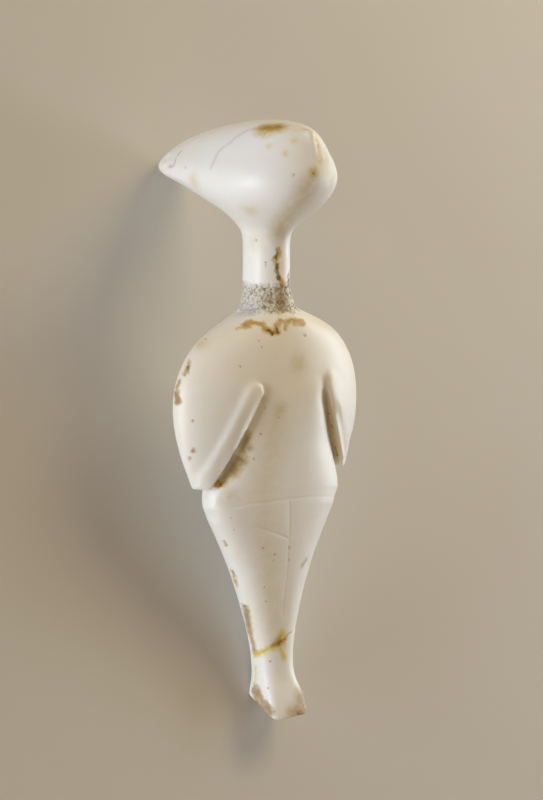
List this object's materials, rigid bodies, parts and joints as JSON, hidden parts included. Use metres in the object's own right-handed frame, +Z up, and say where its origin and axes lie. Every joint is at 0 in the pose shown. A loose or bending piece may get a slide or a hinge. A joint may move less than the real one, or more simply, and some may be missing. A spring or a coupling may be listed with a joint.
{
  "type": "kilia type figurine",
  "caption": "Ancient marble figurine of a standing woman: tear-shaped head tilted back, thin neck, shield-like shoulders, joined tapering legs. Lies on its back.",
  "frame": {"origin": "on the ground under the middle of the lying figure's box", "axes": "+Z up, +Y towards the head, +X towards the figure's left; its face and chest look up"},
  "size_m": [0.0564, 0.141, 0.052],
  "materials": {
    "marble": "softly polished ivory-white marble with brown stains"
  },
  "bodies": {
    "root": {"marble_figurine": "marble"}
  },
  "joints": []
}
